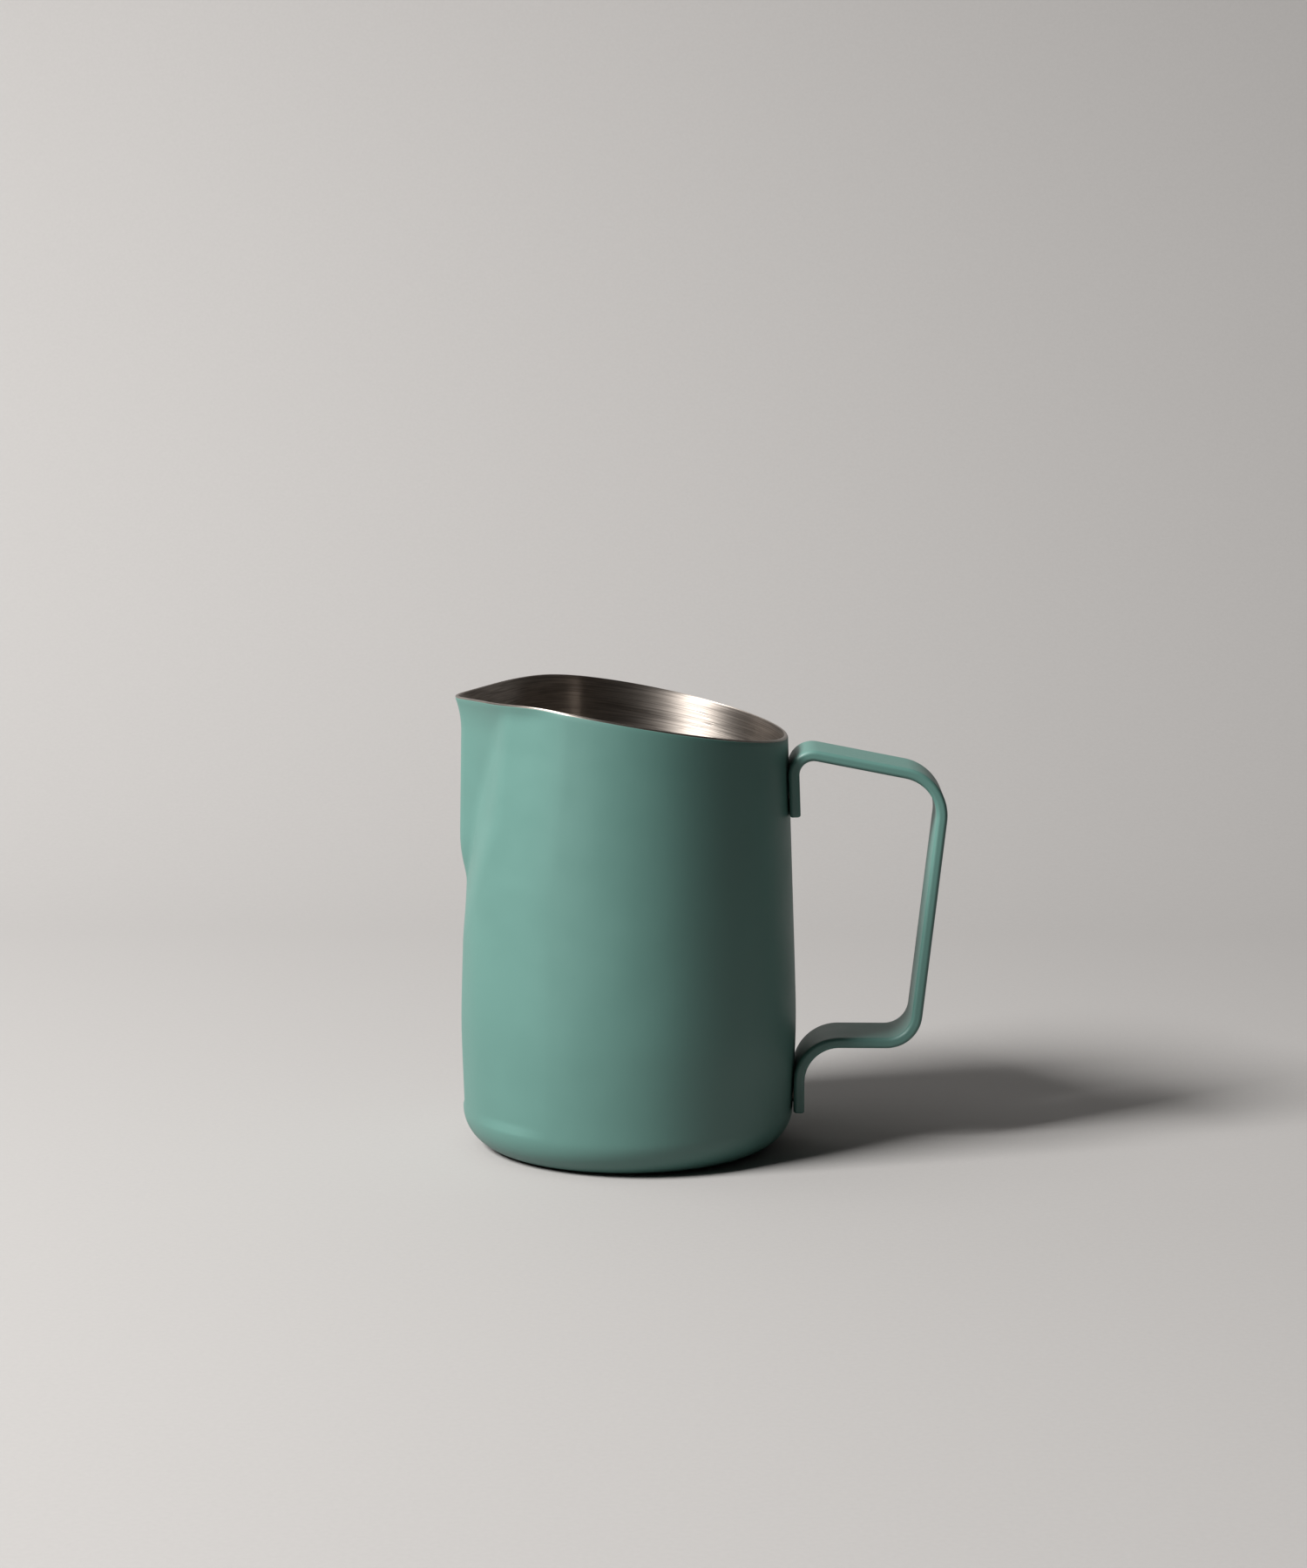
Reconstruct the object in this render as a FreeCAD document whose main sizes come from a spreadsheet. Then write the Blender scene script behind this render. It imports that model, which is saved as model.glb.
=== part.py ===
"""Milk frothing pitcher: a drawn steel cup with a pressed spout, a powder coating and a welded strap handle.

Frame: millimetres, +Z up, +X towards the handle, the spout towards -X.
The origin is the centre of the flat underside, which is the face that the pitcher stands on.
"""
import FreeCAD, Part
import math
import os
import Sketcher

Vector = FreeCAD.Vector

DIMENSIONS = (
    # the drawn cup
    ("widest_radius", 40.0, "outer radius of the cup where it is widest"),
    ("widest_height", 30.0, "height of the widest place above the base"),
    ("wall_taper", 0.036, "narrowing of the radius per mm of height, above and below the widest place"),
    ("widest_softness", 5.0, "half height over which the two tapers run into each other"),
    ("base_corner", 8.9, "outer radius of the rounded corner around the base"),
    ("wall", 0.8, "thickness of the steel"),
    ("loft_top", 112.0, "height of the untrimmed wall, above every point of the rim"),
    ("rim_rounding", 0.2, "rounding of both edges of the cut rim"),
    # the slanted rim: a falling line, less a fold at the spout's shoulders and a slight bend
    ("rim_level", 107.49, "height of the rim's line over the axis, before the fold"),
    ("rim_fall", 0.0636, "fall of the rim per mm towards the handle"),
    ("rim_fold", 0.1146, "extra fall to both sides of the spout's shoulders"),
    ("rim_fold_x", -20.6, "place of the shoulders, where the rim is highest"),
    ("rim_fold_softness", 5.4, "half length over which the rim folds over"),
    ("rim_curve", 0.000572, "bend of the rim's long slope, per mm"),
    # the spout: a proud rib with a scoop and a shallow cheek on each side
    ("scoop_start", 50.0, "height where the front of the cup starts to be pressed in"),
    ("scoop_full", 97.0, "height where scoops and cheeks reach their full depth"),
    ("scoop_depth", 4.0, "depth of the scoops under the round wall"),
    ("scoop_growth", 1.1, "power of the growth of that depth with height"),
    ("scoop_turned", 80.0, "height where the scoops have turned away to their full angle"),
    ("scoop_turn", 18.0, "turn of each scoop away from the spout's direction, degrees"),
    ("scoop_blend", 1.6, "softness of the turn from a scoop to its cheek"),
    ("cheek_start", 66.0, "height where the cheeks start"),
    ("cheek_depth", 1.5, "depth of the cheeks under the round wall"),
    ("cheek_turn", 45.0, "turn of each cheek away from the spout's direction, degrees"),
    ("cheek_blend", 2.5, "softness of the turn from a cheek to the round wall"),
    ("rib_foot", 63.0, "height of the lower tip of the rib"),
    ("rib_top", 108.0, "height at which the rib's last sizes are given"),
    ("rib_reach", 39.95, "distance of the rib's ridge from the axis, extended down to its foot"),
    ("rib_taper", 0.0195, "narrowing of that distance per mm of height"),
    ("rib_run_in", 12.0, "height over which the ridge rises from the wall"),
    ("rib_run_in_depth", 2.2, "distance by which the ridge starts under its full reach"),
    ("rib_nose_foot", 5.0, "radius of the rib's ridge at its foot"),
    ("rib_nose_top", 9.5, "radius of the pouring nose at the rim"),
    ("rib_flank_foot", 41.0, "turn of the rib's flanks away from the spout's direction at the foot, degrees"),
    ("rib_flank_top", 30.0, "the same turn at the rim, degrees"),
    ("valley_blend", 0.8, "softness of the valley between rib and scoop"),
    ("lip_height", 99.0, "height where the pouring lip starts to flare"),
    ("lip_flare", 1.9, "outward flare of the pouring lip at the rim"),
    # the coating
    ("coat", 0.12, "thickness of the powder coating"),
    ("coat_rim_gap", 0.35, "height of the bare steel edge above the coating"),
    ("coat_base_gap", 0.5, "height of the coating's lower edge above the base"),
    # the handle, a bent flat bar; heights and distances are those of its centre line
    ("bar_width", 17.5, "width of the handle bar"),
    ("bar_thickness", 2.55, "thickness of the handle bar"),
    ("bar_edge", 0.9, "rounding of the bar's long edges"),
    ("lower_pad_end", 8.45, "height of the lower end of the bar"),
    ("lower_pad_x", 40.82, "distance of the lower pad from the axis"),
    ("lower_arm_height", 25.6, "height of the level lower arm"),
    ("lower_pad_bend", 9.6, "bend between lower pad and lower arm"),
    ("grip_foot_x", 67.85, "distance of the grip line from the axis at the height of the lower arm"),
    ("grip_foot_bend", 7.2, "bend between lower arm and grip"),
    ("grip_lean", 6.4, "lean of the grip away from the cup, degrees"),
    ("grip_head_bend", 10.35, "bend between grip and upper arm"),
    ("upper_arm_slope", 10.9, "fall of the upper arm towards the grip, degrees"),
    ("upper_arm_height", 95.33, "height of the upper arm's line over the upper pad"),
    ("upper_pad_bend", 4.6, "bend between upper arm and upper pad"),
    ("upper_pad_x", 38.95, "distance of the upper pad from the axis at the top"),
    ("upper_pad_lean", 2.06, "lean of the upper pad, which follows the tapered wall, degrees"),
    ("upper_pad_end", 79.7, "height of the upper end of the bar"),
    ("pad_gap", 0.15, "gap between a pad and the coated wall"),
    # the weld nuggets
    ("nugget_diameter", 3.0, "diameter of a resistance weld nugget"),
    ("nugget_pitch", 7.0, "distance between the two nuggets of a pad"),
    ("upper_nugget_height", 84.5, "height of the upper pair"),
    ("lower_nugget_height", 12.2, "height of the lower pair"),
    ("nugget_start", 36.0, "distance from the axis where the weld cylinders start, inside the steel"),
    ("nugget_length", 4.5, "length of the weld cylinders before they are trimmed to the gap"),
)

SECTION_POINTS = 72
FRONT_CROWDING = 0.65
CORNER_STEPS = 7
SPOUT_STEP = 3.0
BODY_STEP = 5.0
RIM_STEP = 5.0
STEEPEST_FLAT = math.radians(75)


def make_sheet(document):
    """Put every driving dimension in the sheet: name, value and meaning in one row."""
    sheet = document.addObject("Spreadsheet::Sheet", "Dimensions")
    for row, (alias, value, meaning) in enumerate(DIMENSIONS, start=1):
        sheet.set(f"A{row}", alias)
        sheet.set(f"B{row}", str(value))
        sheet.set(f"C{row}", meaning)
        sheet.setAlias(f"B{row}", alias)
    document.recompute()
    return sheet


def rise(start, end, height):
    """Share of the way from start to end, not below nought."""
    return max(0.0, (height - start) / (end - start))


def rounded_min(one, other, width):
    """Smaller of the two, with the corner where they cross rounded over the width."""
    closeness = max(width - abs(one - other), 0.0) / width
    return min(one, other) - width * closeness ** 2 / 4


def rounded_max(one, other, width):
    """Larger of the two, with the corner where they cross rounded over the width."""
    return -rounded_min(-one, -other, width)


class Wall:
    """The outer side of the cup as a distance from the axis, for any inset into the steel."""

    def __init__(self, sheet):
        self.size = sheet

    def round_radius(self, height):
        size = self.size
        from_widest = math.hypot(height - size.widest_height, size.widest_softness)
        return size.widest_radius - size.wall_taper * (from_widest - size.widest_softness)

    def rim_height(self, x):
        """Height of the rim over a place along X."""
        size = self.size
        fold = math.hypot(x - size.rim_fold_x, size.rim_fold_softness) - size.rim_fold_softness
        return size.rim_level - size.rim_fall * x - size.rim_fold * fold - size.rim_curve * x ** 2

    def cheek(self, height):
        """Depth and turn of the shallow cheek."""
        size = self.size
        return size.cheek_depth * min(rise(size.cheek_start, size.scoop_full, height), 1), size.cheek_turn

    def scoop(self, height):
        """Depth and turn of the scoop beside the rib."""
        size = self.size
        grown = min(rise(size.scoop_start, size.scoop_full, height), 1) ** size.scoop_growth
        return size.scoop_depth * grown, size.scoop_turn * min(rise(size.scoop_start, size.scoop_turned, height), 1)

    def pressed(self, body, flat, angle, height, inset, blend):
        """Wall cut by a flat that is square to its own direction, at a depth under the round wall."""
        depth, turn = flat
        off_flat = abs(angle - math.radians(turn))
        if off_flat > STEEPEST_FLAT:
            return body
        return rounded_min(body, (self.round_radius(height) - depth - inset) / math.cos(off_flat), blend)

    def rib(self, height):
        """Centre distance and radius of the arc that rounds the rib's ridge, and the turn of its flanks."""
        size = self.size
        below_full = max(0.0, 1 - rise(size.rib_foot, size.rib_foot + size.rib_run_in, height))
        ridge = size.rib_reach - size.rib_taper * (height - size.rib_foot)
        ridge -= size.rib_run_in_depth * below_full ** 2
        ridge += size.lip_flare * rise(size.lip_height, size.rib_top, height) ** 2
        growth = min(rise(size.rib_foot, size.rib_top, height), 1.1) ** 2
        nose = size.rib_nose_foot + (size.rib_nose_top - size.rib_nose_foot) * growth
        flank_turn = size.rib_flank_foot + (size.rib_flank_top - size.rib_flank_foot) * growth
        return ridge - nose, nose, math.radians(flank_turn)

    def radius(self, angle, height, inset):
        """Distance of the wall from the axis at an angle measured from the spout."""
        size = self.size
        angle = abs(angle)
        body = self.round_radius(height) - inset
        body = self.pressed(body, self.cheek(height), angle, height, inset, size.cheek_blend)
        body = self.pressed(body, self.scoop(height), angle, height, inset, size.scoop_blend)
        if height < size.rib_foot - size.rib_run_in:
            return body
        centre, nose, flank_turn = self.rib(height)
        nose -= inset
        nose_end = math.atan2(nose * math.sin(flank_turn), centre + nose * math.cos(flank_turn))
        if angle < nose_end:
            across = centre * math.sin(angle)
            rib = centre * math.cos(angle) + math.sqrt(nose ** 2 - across ** 2)
        else:
            flank = centre * math.cos(flank_turn) + nose
            rib = flank / math.cos(min(angle - flank_turn, 0.0))
        return rounded_max(body, rib, size.valley_blend)

    def corner_ring(self, lift, inset):
        """Height and radius of a ring on the base corner, at an angle of its arc from the base up."""
        corner = self.size.base_corner
        height = corner - (corner - inset) * math.cos(lift)
        radius = self.round_radius(corner) - corner + (corner - inset) * math.sin(lift)
        return height, radius

    def section_heights(self):
        """Heights of the sections above the base corner, closer together over the spout."""
        size = self.size
        body_steps = math.ceil((size.scoop_start - size.base_corner) / BODY_STEP)
        body_rise = (size.scoop_start - size.base_corner) / body_steps
        heights = [size.base_corner + body_rise * step for step in range(1, body_steps)]
        spout_steps = math.ceil((size.loft_top - size.scoop_start) / SPOUT_STEP)
        spout_rise = (size.loft_top - size.scoop_start) / spout_steps
        return heights + [size.scoop_start + spout_rise * step for step in range(spout_steps + 1)]


def ring_wire(height, radius_at):
    """Closed smooth curve at one height; the points crowd together around the spout."""
    points = []
    for number in range(SECTION_POINTS):
        even = 2 * math.pi * number / SECTION_POINTS - math.pi
        angle = even - FRONT_CROWDING * math.sin(even)
        radius = radius_at(angle)
        points.append(Vector(-radius * math.cos(angle), radius * math.sin(angle), height))
    curve = Part.BSplineCurve()
    curve.interpolate(Points=points, PeriodicFlag=True, Parameters=list(range(SECTION_POINTS + 1)))
    return Part.Wire(curve.toShape())


def cup_solid(wall, inset):
    """Solid of everything inside the wall's outer side, moved inwards by the inset."""
    rings = []
    for step in range(CORNER_STEPS + 1):
        height, radius = wall.corner_ring(math.pi / 2 * step / CORNER_STEPS, inset)
        rings.append(ring_wire(height, lambda angle: radius))
    for height in wall.section_heights():
        rings.append(ring_wire(height, lambda angle: wall.radius(angle, height, inset)))
    return Part.makeLoft(rings, True, False)


def above_rim_solid(wall, drop):
    """Everything above the rim curve: the curve runs from nose to back and is drawn out along Y."""
    size = wall.size
    reach = size.widest_radius + RIM_STEP
    steps = math.ceil(2 * reach / RIM_STEP)
    places = [reach * (2 * step / steps - 1) for step in range(steps + 1)]
    points = [Vector(x, -size.loft_top, wall.rim_height(x) - drop) for x in places]
    curve = Part.BSplineCurve()
    curve.interpolate(Points=points)
    top = 2 * size.loft_top
    front_top = Vector(points[0].x, points[0].y, top)
    back_top = Vector(points[-1].x, points[-1].y, top)
    outline = Part.Wire([
        curve.toShape(),
        Part.makeLine(points[-1], back_top),
        Part.makeLine(back_top, front_top),
        Part.makeLine(front_top, points[0]),
    ])
    return Part.Face(outline).extrude(Vector(0, 2 * size.loft_top, 0))


def add_shape(document, name, shape):
    """Plain feature that carries a shape worked out from the sheet."""
    feature = document.addObject("Part::Feature", name)
    feature.Shape = shape
    return feature


def add_cut(document, name, base, *tools):
    """Base with each tool cut from it in turn; the last cut has the name."""
    for number, tool in enumerate(tools, start=1):
        cut_name = name if number == len(tools) else f"{name}_before_cut_{number + 1}"
        cut = document.addObject("Part::Cut", cut_name)
        cut.Base = base
        cut.Tool = tool
        base = cut
    document.recompute()
    return base


def make_vessel(document, sheet, wall, outside):
    """Cup of even wall thickness, cut off along the slanted rim, with both rim edges eased."""
    inside = add_shape(document, "cup_inside", cup_solid(wall, sheet.wall))
    above = add_shape(document, "above_rim", above_rim_solid(wall, 0))
    cut = add_cut(document, "vessel_with_sharp_rim", outside, inside, above)
    lowest_rim = wall.rim_height(sheet.widest_radius)
    edges = [
        (number, sheet.rim_rounding, sheet.rim_rounding)
        for number, edge in enumerate(cut.Shape.Edges, start=1)
        if edge.BoundBox.ZMin > lowest_rim and edge.Length > 2 * sheet.wall
    ]
    vessel = document.addObject("Part::Fillet", "vessel")
    vessel.Base = cut
    vessel.Edges = edges
    return vessel


def make_weld_cylinders(document, sheet, name, height_alias):
    """Two level cylinders side by side, which reach from inside the steel into the pad."""
    cylinders = []
    for side in (-1, 1):
        cylinder = document.addObject("Part::Cylinder", f"{name}_{'left' if side > 0 else 'right'}")
        cylinder.setExpression("Radius", "Dimensions.nugget_diameter / 2")
        cylinder.setExpression("Height", "Dimensions.nugget_length")
        cylinder.Placement = FreeCAD.Placement(Vector(), FreeCAD.Rotation(Vector(0, 1, 0), 90))
        cylinder.setExpression("Placement.Base.x", "Dimensions.nugget_start")
        cylinder.setExpression("Placement.Base.y", f"{side} * Dimensions.nugget_pitch / 2")
        cylinder.setExpression("Placement.Base.z", f"Dimensions.{height_alias}")
        cylinders.append(cylinder)
    pair = document.addObject("Part::Compound", f"{name}_pair")
    pair.Links = cylinders
    document.recompute()
    return pair


def make_coating(document, sheet, wall, outside, weld_pairs):
    """Thin film on the outside of the cup, open at the rim and the base and around the welds."""
    film = add_shape(document, "coated_outside", cup_solid(wall, -sheet.coat))
    above = add_shape(document, "above_coating", above_rim_solid(wall, sheet.coat_rim_gap))
    below = document.addObject("Part::Box", "below_coating")
    for side in ("Length", "Width"):
        below.setExpression(side, "4 * Dimensions.widest_radius")
    below.setExpression("Height", "2 * Dimensions.coat_base_gap")
    below.setExpression("Placement.Base.x", "-2 * Dimensions.widest_radius")
    below.setExpression("Placement.Base.y", "-2 * Dimensions.widest_radius")
    below.setExpression("Placement.Base.z", "-Dimensions.coat_base_gap")
    return add_cut(document, "vessel_coating", film, outside, above, below, *weld_pairs)


class PathSketch:
    """Sketch of a line of straight runs with tangent bends, drawn run by run."""

    def __init__(self, sketch):
        self.sketch = sketch

    def run(self, start, end):
        return self.sketch.addGeometry(Part.LineSegment(start, end), False)

    def bend(self, before, corner, after, radius):
        """Arc that rounds the corner between two directions."""
        incoming = (corner - before).normalize()
        outgoing = (after - corner).normalize()
        turn = incoming.getAngle(outgoing)
        reach = radius * math.tan(turn / 2)
        start = corner - incoming * reach
        end = corner + outgoing * reach
        inwards = (outgoing - incoming).normalize()
        centre = corner + inwards * (radius / math.cos(turn / 2))
        middle = centre - inwards * radius
        arc = self.sketch.addGeometry(Part.Arc(start, middle, end), False)
        return arc, start, end


def origin_plane(body, role):
    return next(plane for plane in body.Origin.OriginFeatures if plane.Role == role)


def bar_corners(sheet):
    """Corner points of the bar's centre line from the lower pad up to the upper pad, in sketch axes."""
    lean = math.tan(math.radians(sheet.grip_lean))
    slope = math.tan(math.radians(sheet.upper_arm_slope))
    pad_lean = math.tan(math.radians(sheet.upper_pad_lean))
    rise_at_grip = sheet.upper_arm_height - sheet.lower_arm_height
    reach = sheet.grip_foot_x - sheet.upper_pad_x
    # the upper arm's line meets the grip's line where both give the same distance from the axis
    grip_head_rise = (rise_at_grip - slope * reach) / (1 + slope * lean)
    grip_head = Vector(sheet.grip_foot_x + lean * grip_head_rise, sheet.lower_arm_height + grip_head_rise, 0)
    pad_height = sheet.upper_arm_height - sheet.upper_pad_end
    return (
        Vector(sheet.lower_pad_x, sheet.lower_pad_end, 0),
        Vector(sheet.lower_pad_x, sheet.lower_arm_height, 0),
        Vector(sheet.grip_foot_x, sheet.lower_arm_height, 0),
        grip_head,
        Vector(sheet.upper_pad_x, sheet.upper_arm_height, 0),
        Vector(sheet.upper_pad_x + pad_lean * pad_height, sheet.upper_pad_end, 0),
    )


def draw_bar_path(sketch, sheet):
    """Centre line of the bent bar; every bend's radius is bound to the sheet."""
    corners = bar_corners(sheet)
    bends = ("lower_pad_bend", "grip_foot_bend", "grip_head_bend", "upper_pad_bend")
    path = PathSketch(sketch)
    start = corners[0]
    previous = None
    for number, alias in enumerate(bends, start=1):
        before, corner, after = corners[number - 1:number + 2]
        arc, bend_start, bend_end = path.bend(before, corner, after, getattr(sheet, alias))
        run = path.run(start, bend_start)
        if previous is not None:
            sketch.addConstraint(Sketcher.Constraint("Coincident", previous, previous_end, run, 1))
        arc_start = 1 if sketch.getPoint(arc, 1).isEqual(bend_start, 1e-4) else 2
        sketch.addConstraint(Sketcher.Constraint("Tangent", run, 2, arc, arc_start))
        radius = sketch.addConstraint(Sketcher.Constraint("Radius", arc, getattr(sheet, alias)))
        sketch.renameConstraint(radius, alias)
        sketch.setExpression(f"Constraints.{alias}", f"Dimensions.{alias}")
        start = bend_end
        previous = arc
        previous_end = 3 - arc_start
    last = path.run(start, corners[-1])
    sketch.addConstraint(Sketcher.Constraint("Tangent", previous, previous_end, last, 1))


def draw_bar_section(sketch, sheet):
    """Flat bar section with rounded edges, centred on the sketch's own X and Y reach."""
    half = {"x": sheet.bar_thickness / 2, "y": sheet.bar_width / 2}
    edge = sheet.bar_edge
    corners = ((1, 1), (-1, 1), (-1, -1), (1, -1))
    centre_x = sheet.lower_pad_x
    arcs = []
    for number, (side_x, side_y) in enumerate(corners):
        centre = Vector(centre_x + side_x * (half["x"] - edge), side_y * (half["y"] - edge), 0)
        circle = Part.Circle(centre, Vector(0, 0, 1), edge)
        arcs.append(Part.ArcOfCircle(circle, number * math.pi / 2, (number + 1) * math.pi / 2))
    for number, arc in enumerate(arcs):
        sketch.addGeometry(arc, False)
        sketch.addGeometry(Part.LineSegment(arc.EndPoint, arcs[(number + 1) % 4].StartPoint), False)


def make_bar(document, sheet):
    """Flat bar swept along its bent centre line."""
    body = document.addObject("PartDesign::Body", "handle_bar")
    section = body.newObject("Sketcher::SketchObject", "bar_section")
    section.AttachmentSupport = [(origin_plane(body, "XY_Plane"), "")]
    section.MapMode = "FlatFace"
    section.setExpression("AttachmentOffset.Base.z", "Dimensions.lower_pad_end")
    draw_bar_section(section, sheet)
    route = body.newObject("Sketcher::SketchObject", "bar_path")
    route.AttachmentSupport = [(origin_plane(body, "XZ_Plane"), "")]
    route.MapMode = "FlatFace"
    draw_bar_path(route, sheet)
    document.recompute()
    bar = body.newObject("PartDesign::AdditivePipe", "bar")
    bar.Profile = section
    bar.Spine = (route, [f"Edge{number}" for number in range(1, route.GeometryCount + 1)])
    document.recompute()
    return body


def check_document(document, sub_parts):
    """Stop if any object failed or any sub-part is not a sound solid."""
    for item in document.Objects:
        if "Invalid" in item.State or "Error" in item.State:
            raise RuntimeError(f"{item.Name} failed: {item.State}")
    for name, item in sub_parts.items():
        shape = item.Shape
        if shape.isNull() or not shape.isValid() or not shape.Solids:
            raise RuntimeError(f"{name} has no sound solid")
        print(name, "solids", len(shape.Solids), "volume", round(shape.Volume, 1), shape.BoundBox)


def main():
    document = FreeCAD.newDocument("milk_pitcher")
    sheet = make_sheet(document)
    wall = Wall(sheet)
    outside = add_shape(document, "cup_outside", cup_solid(wall, 0))
    upper_welds = make_weld_cylinders(document, sheet, "upper_weld", "upper_nugget_height")
    lower_welds = make_weld_cylinders(document, sheet, "lower_weld", "lower_nugget_height")
    clearance = add_shape(document, "pad_clearance", cup_solid(wall, -sheet.coat - sheet.pad_gap))
    bar = make_bar(document, sheet)
    handle = add_cut(document, "handle", bar, clearance)
    sub_parts = {
        "vessel": make_vessel(document, sheet, wall, outside),
        "vessel_coating": make_coating(document, sheet, wall, outside, (upper_welds, lower_welds)),
        "handle": handle,
        "upper_weld_nuggets": add_cut(document, "upper_weld_nuggets", upper_welds, outside, handle),
        "lower_weld_nuggets": add_cut(document, "lower_weld_nuggets", lower_welds, outside, handle),
    }
    document.recompute()
    for name, item in sub_parts.items():
        item.Label = name
    check_document(document, sub_parts)
    os.makedirs("parts", exist_ok=True)
    for name, item in sub_parts.items():
        item.Shape.exportStep(f"parts/{name}.step")


main()
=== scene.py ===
import math

import bpy
import numpy as np
from bpy.props import FloatProperty, FloatVectorProperty, PointerProperty
from bpy.types import Operator, Panel, PropertyGroup
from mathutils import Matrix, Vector


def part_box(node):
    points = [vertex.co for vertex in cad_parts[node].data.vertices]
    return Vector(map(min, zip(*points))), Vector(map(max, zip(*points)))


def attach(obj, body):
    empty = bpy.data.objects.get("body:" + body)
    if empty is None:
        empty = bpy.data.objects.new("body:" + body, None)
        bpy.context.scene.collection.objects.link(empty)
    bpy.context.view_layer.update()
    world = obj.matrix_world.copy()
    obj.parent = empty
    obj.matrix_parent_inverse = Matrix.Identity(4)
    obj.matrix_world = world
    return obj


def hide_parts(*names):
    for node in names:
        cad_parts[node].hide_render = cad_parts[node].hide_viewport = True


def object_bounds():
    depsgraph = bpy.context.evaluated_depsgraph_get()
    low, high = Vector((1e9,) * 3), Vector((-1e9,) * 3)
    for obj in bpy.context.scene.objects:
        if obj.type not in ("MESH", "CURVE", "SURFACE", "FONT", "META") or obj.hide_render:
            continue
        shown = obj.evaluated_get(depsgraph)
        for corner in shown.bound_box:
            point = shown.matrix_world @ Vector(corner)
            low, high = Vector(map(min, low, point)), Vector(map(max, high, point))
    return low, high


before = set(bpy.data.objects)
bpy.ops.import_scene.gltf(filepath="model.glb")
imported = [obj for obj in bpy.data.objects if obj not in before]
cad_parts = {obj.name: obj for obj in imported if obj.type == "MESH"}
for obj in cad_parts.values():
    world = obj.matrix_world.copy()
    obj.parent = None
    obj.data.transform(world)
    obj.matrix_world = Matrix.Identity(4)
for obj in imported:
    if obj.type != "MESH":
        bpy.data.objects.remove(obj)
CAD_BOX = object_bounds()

bl_info = {
    "name": "Milk pitcher",
    "version": (1, 0, 0),
    "blender": (4, 5, 0),
    "location": "View3D > Sidebar > Milk pitcher",
    "description": "Builds the surfaces, finishes and stage of a milk frothing pitcher",
    "category": "Object",
}

MM = 0.001
BODY = "root"
SURFACE_MAP = "surface"

COLUMNS = 384
FRONT_CROWDING = 0.6
CORNER_ROWS = 14
SIDE_ROWS = 84
FLAT_ROWS = 10
EDGE_ROWS = 5
# the angle off a flat past which it no longer cuts the wall
STEEPEST_FLAT = math.radians(75)
# how far the rib's growth runs on above its last given height
GROWTH_LIMIT = 1.1
# rounds that settle the rim's height over the leaning wall
RIM_ROUNDS = 8
# points closest to the ends of a flat, in the middle and between, as shares of its width
FLAT_SHARES = (0.04, 0.25, 0.5, 0.75, 0.96)
LINE_SHADE = 0.6
QUARTER_TURN = 0.25
# the paper's reach to both sides, towards the viewer and upwards, in metres
PAPER_REACH = 3.0
SWEEP_ROWS = 25
BACKDROP_LIGHT = (-0.5, 0.12, 1.1)
BACKDROP_AIM = (-0.1, 0.6, 0.25)
BACKDROP_LIGHT_SIZE = 0.5
LIGHT_TINT = (1.0, 0.985, 0.965)
ROOM_TINT = (1.0, 0.97, 0.94, 1)


def length(name, millimetres, description):
    """A length property whose default is given in millimetres."""
    return FloatProperty(
        name=name, description=description, default=millimetres * MM, unit="LENGTH", precision=5
    )


def angle(name, degrees, description):
    """An angle property whose default is given in degrees."""
    return FloatProperty(name=name, description=description, default=math.radians(degrees), subtype="ANGLE")


def ratio(name, value, description):
    return FloatProperty(name=name, description=description, default=value, precision=4)


def colour(name, red, green, blue, description):
    """A linear colour property."""
    return FloatVectorProperty(
        name=name, description=description, default=(red, green, blue), size=3, subtype="COLOR", min=0, max=1
    )


# ---------------------------------------------------------------- sizes and finishes


class CupSizes(PropertyGroup):
    """Sizes of the drawn steel cup and its slanted rim."""

    widest_radius: length("Widest radius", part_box("vessel")[1][1] / MM, "Outer radius at the widest place")
    widest_height: length("Widest height", 30, "Height of the widest place")
    wall_taper: ratio("Wall taper", 0.036, "Narrowing of the radius per unit of height, up and down")
    widest_softness: length("Widest softness", 5, "Half height over which the two tapers meet")
    base_corner: length("Base corner", 8.9, "Outer radius of the corner around the base")
    wall: length("Wall", 0.8, "Thickness of the steel")
    rim_rounding: length("Rim rounding", 0.25, "Rounding of both edges of the cut rim")
    rim_level: length("Rim level", 107.49, "Height of the rim's line over the axis, before the fold")
    rim_fall: ratio("Rim fall", 0.0636, "Fall of the rim per unit of length towards the handle")
    rim_fold: ratio("Rim fold", 0.1146, "Extra fall to both sides of the spout's shoulders")
    rim_fold_place: length("Rim fold place", -20.6, "Place of the shoulders, where the rim is highest")
    rim_fold_softness: length("Rim fold softness", 5.4, "Half length over which the rim folds over")
    rim_curve: ratio("Rim curve", 0.572, "Bend of the rim's long slope, per metre")


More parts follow.
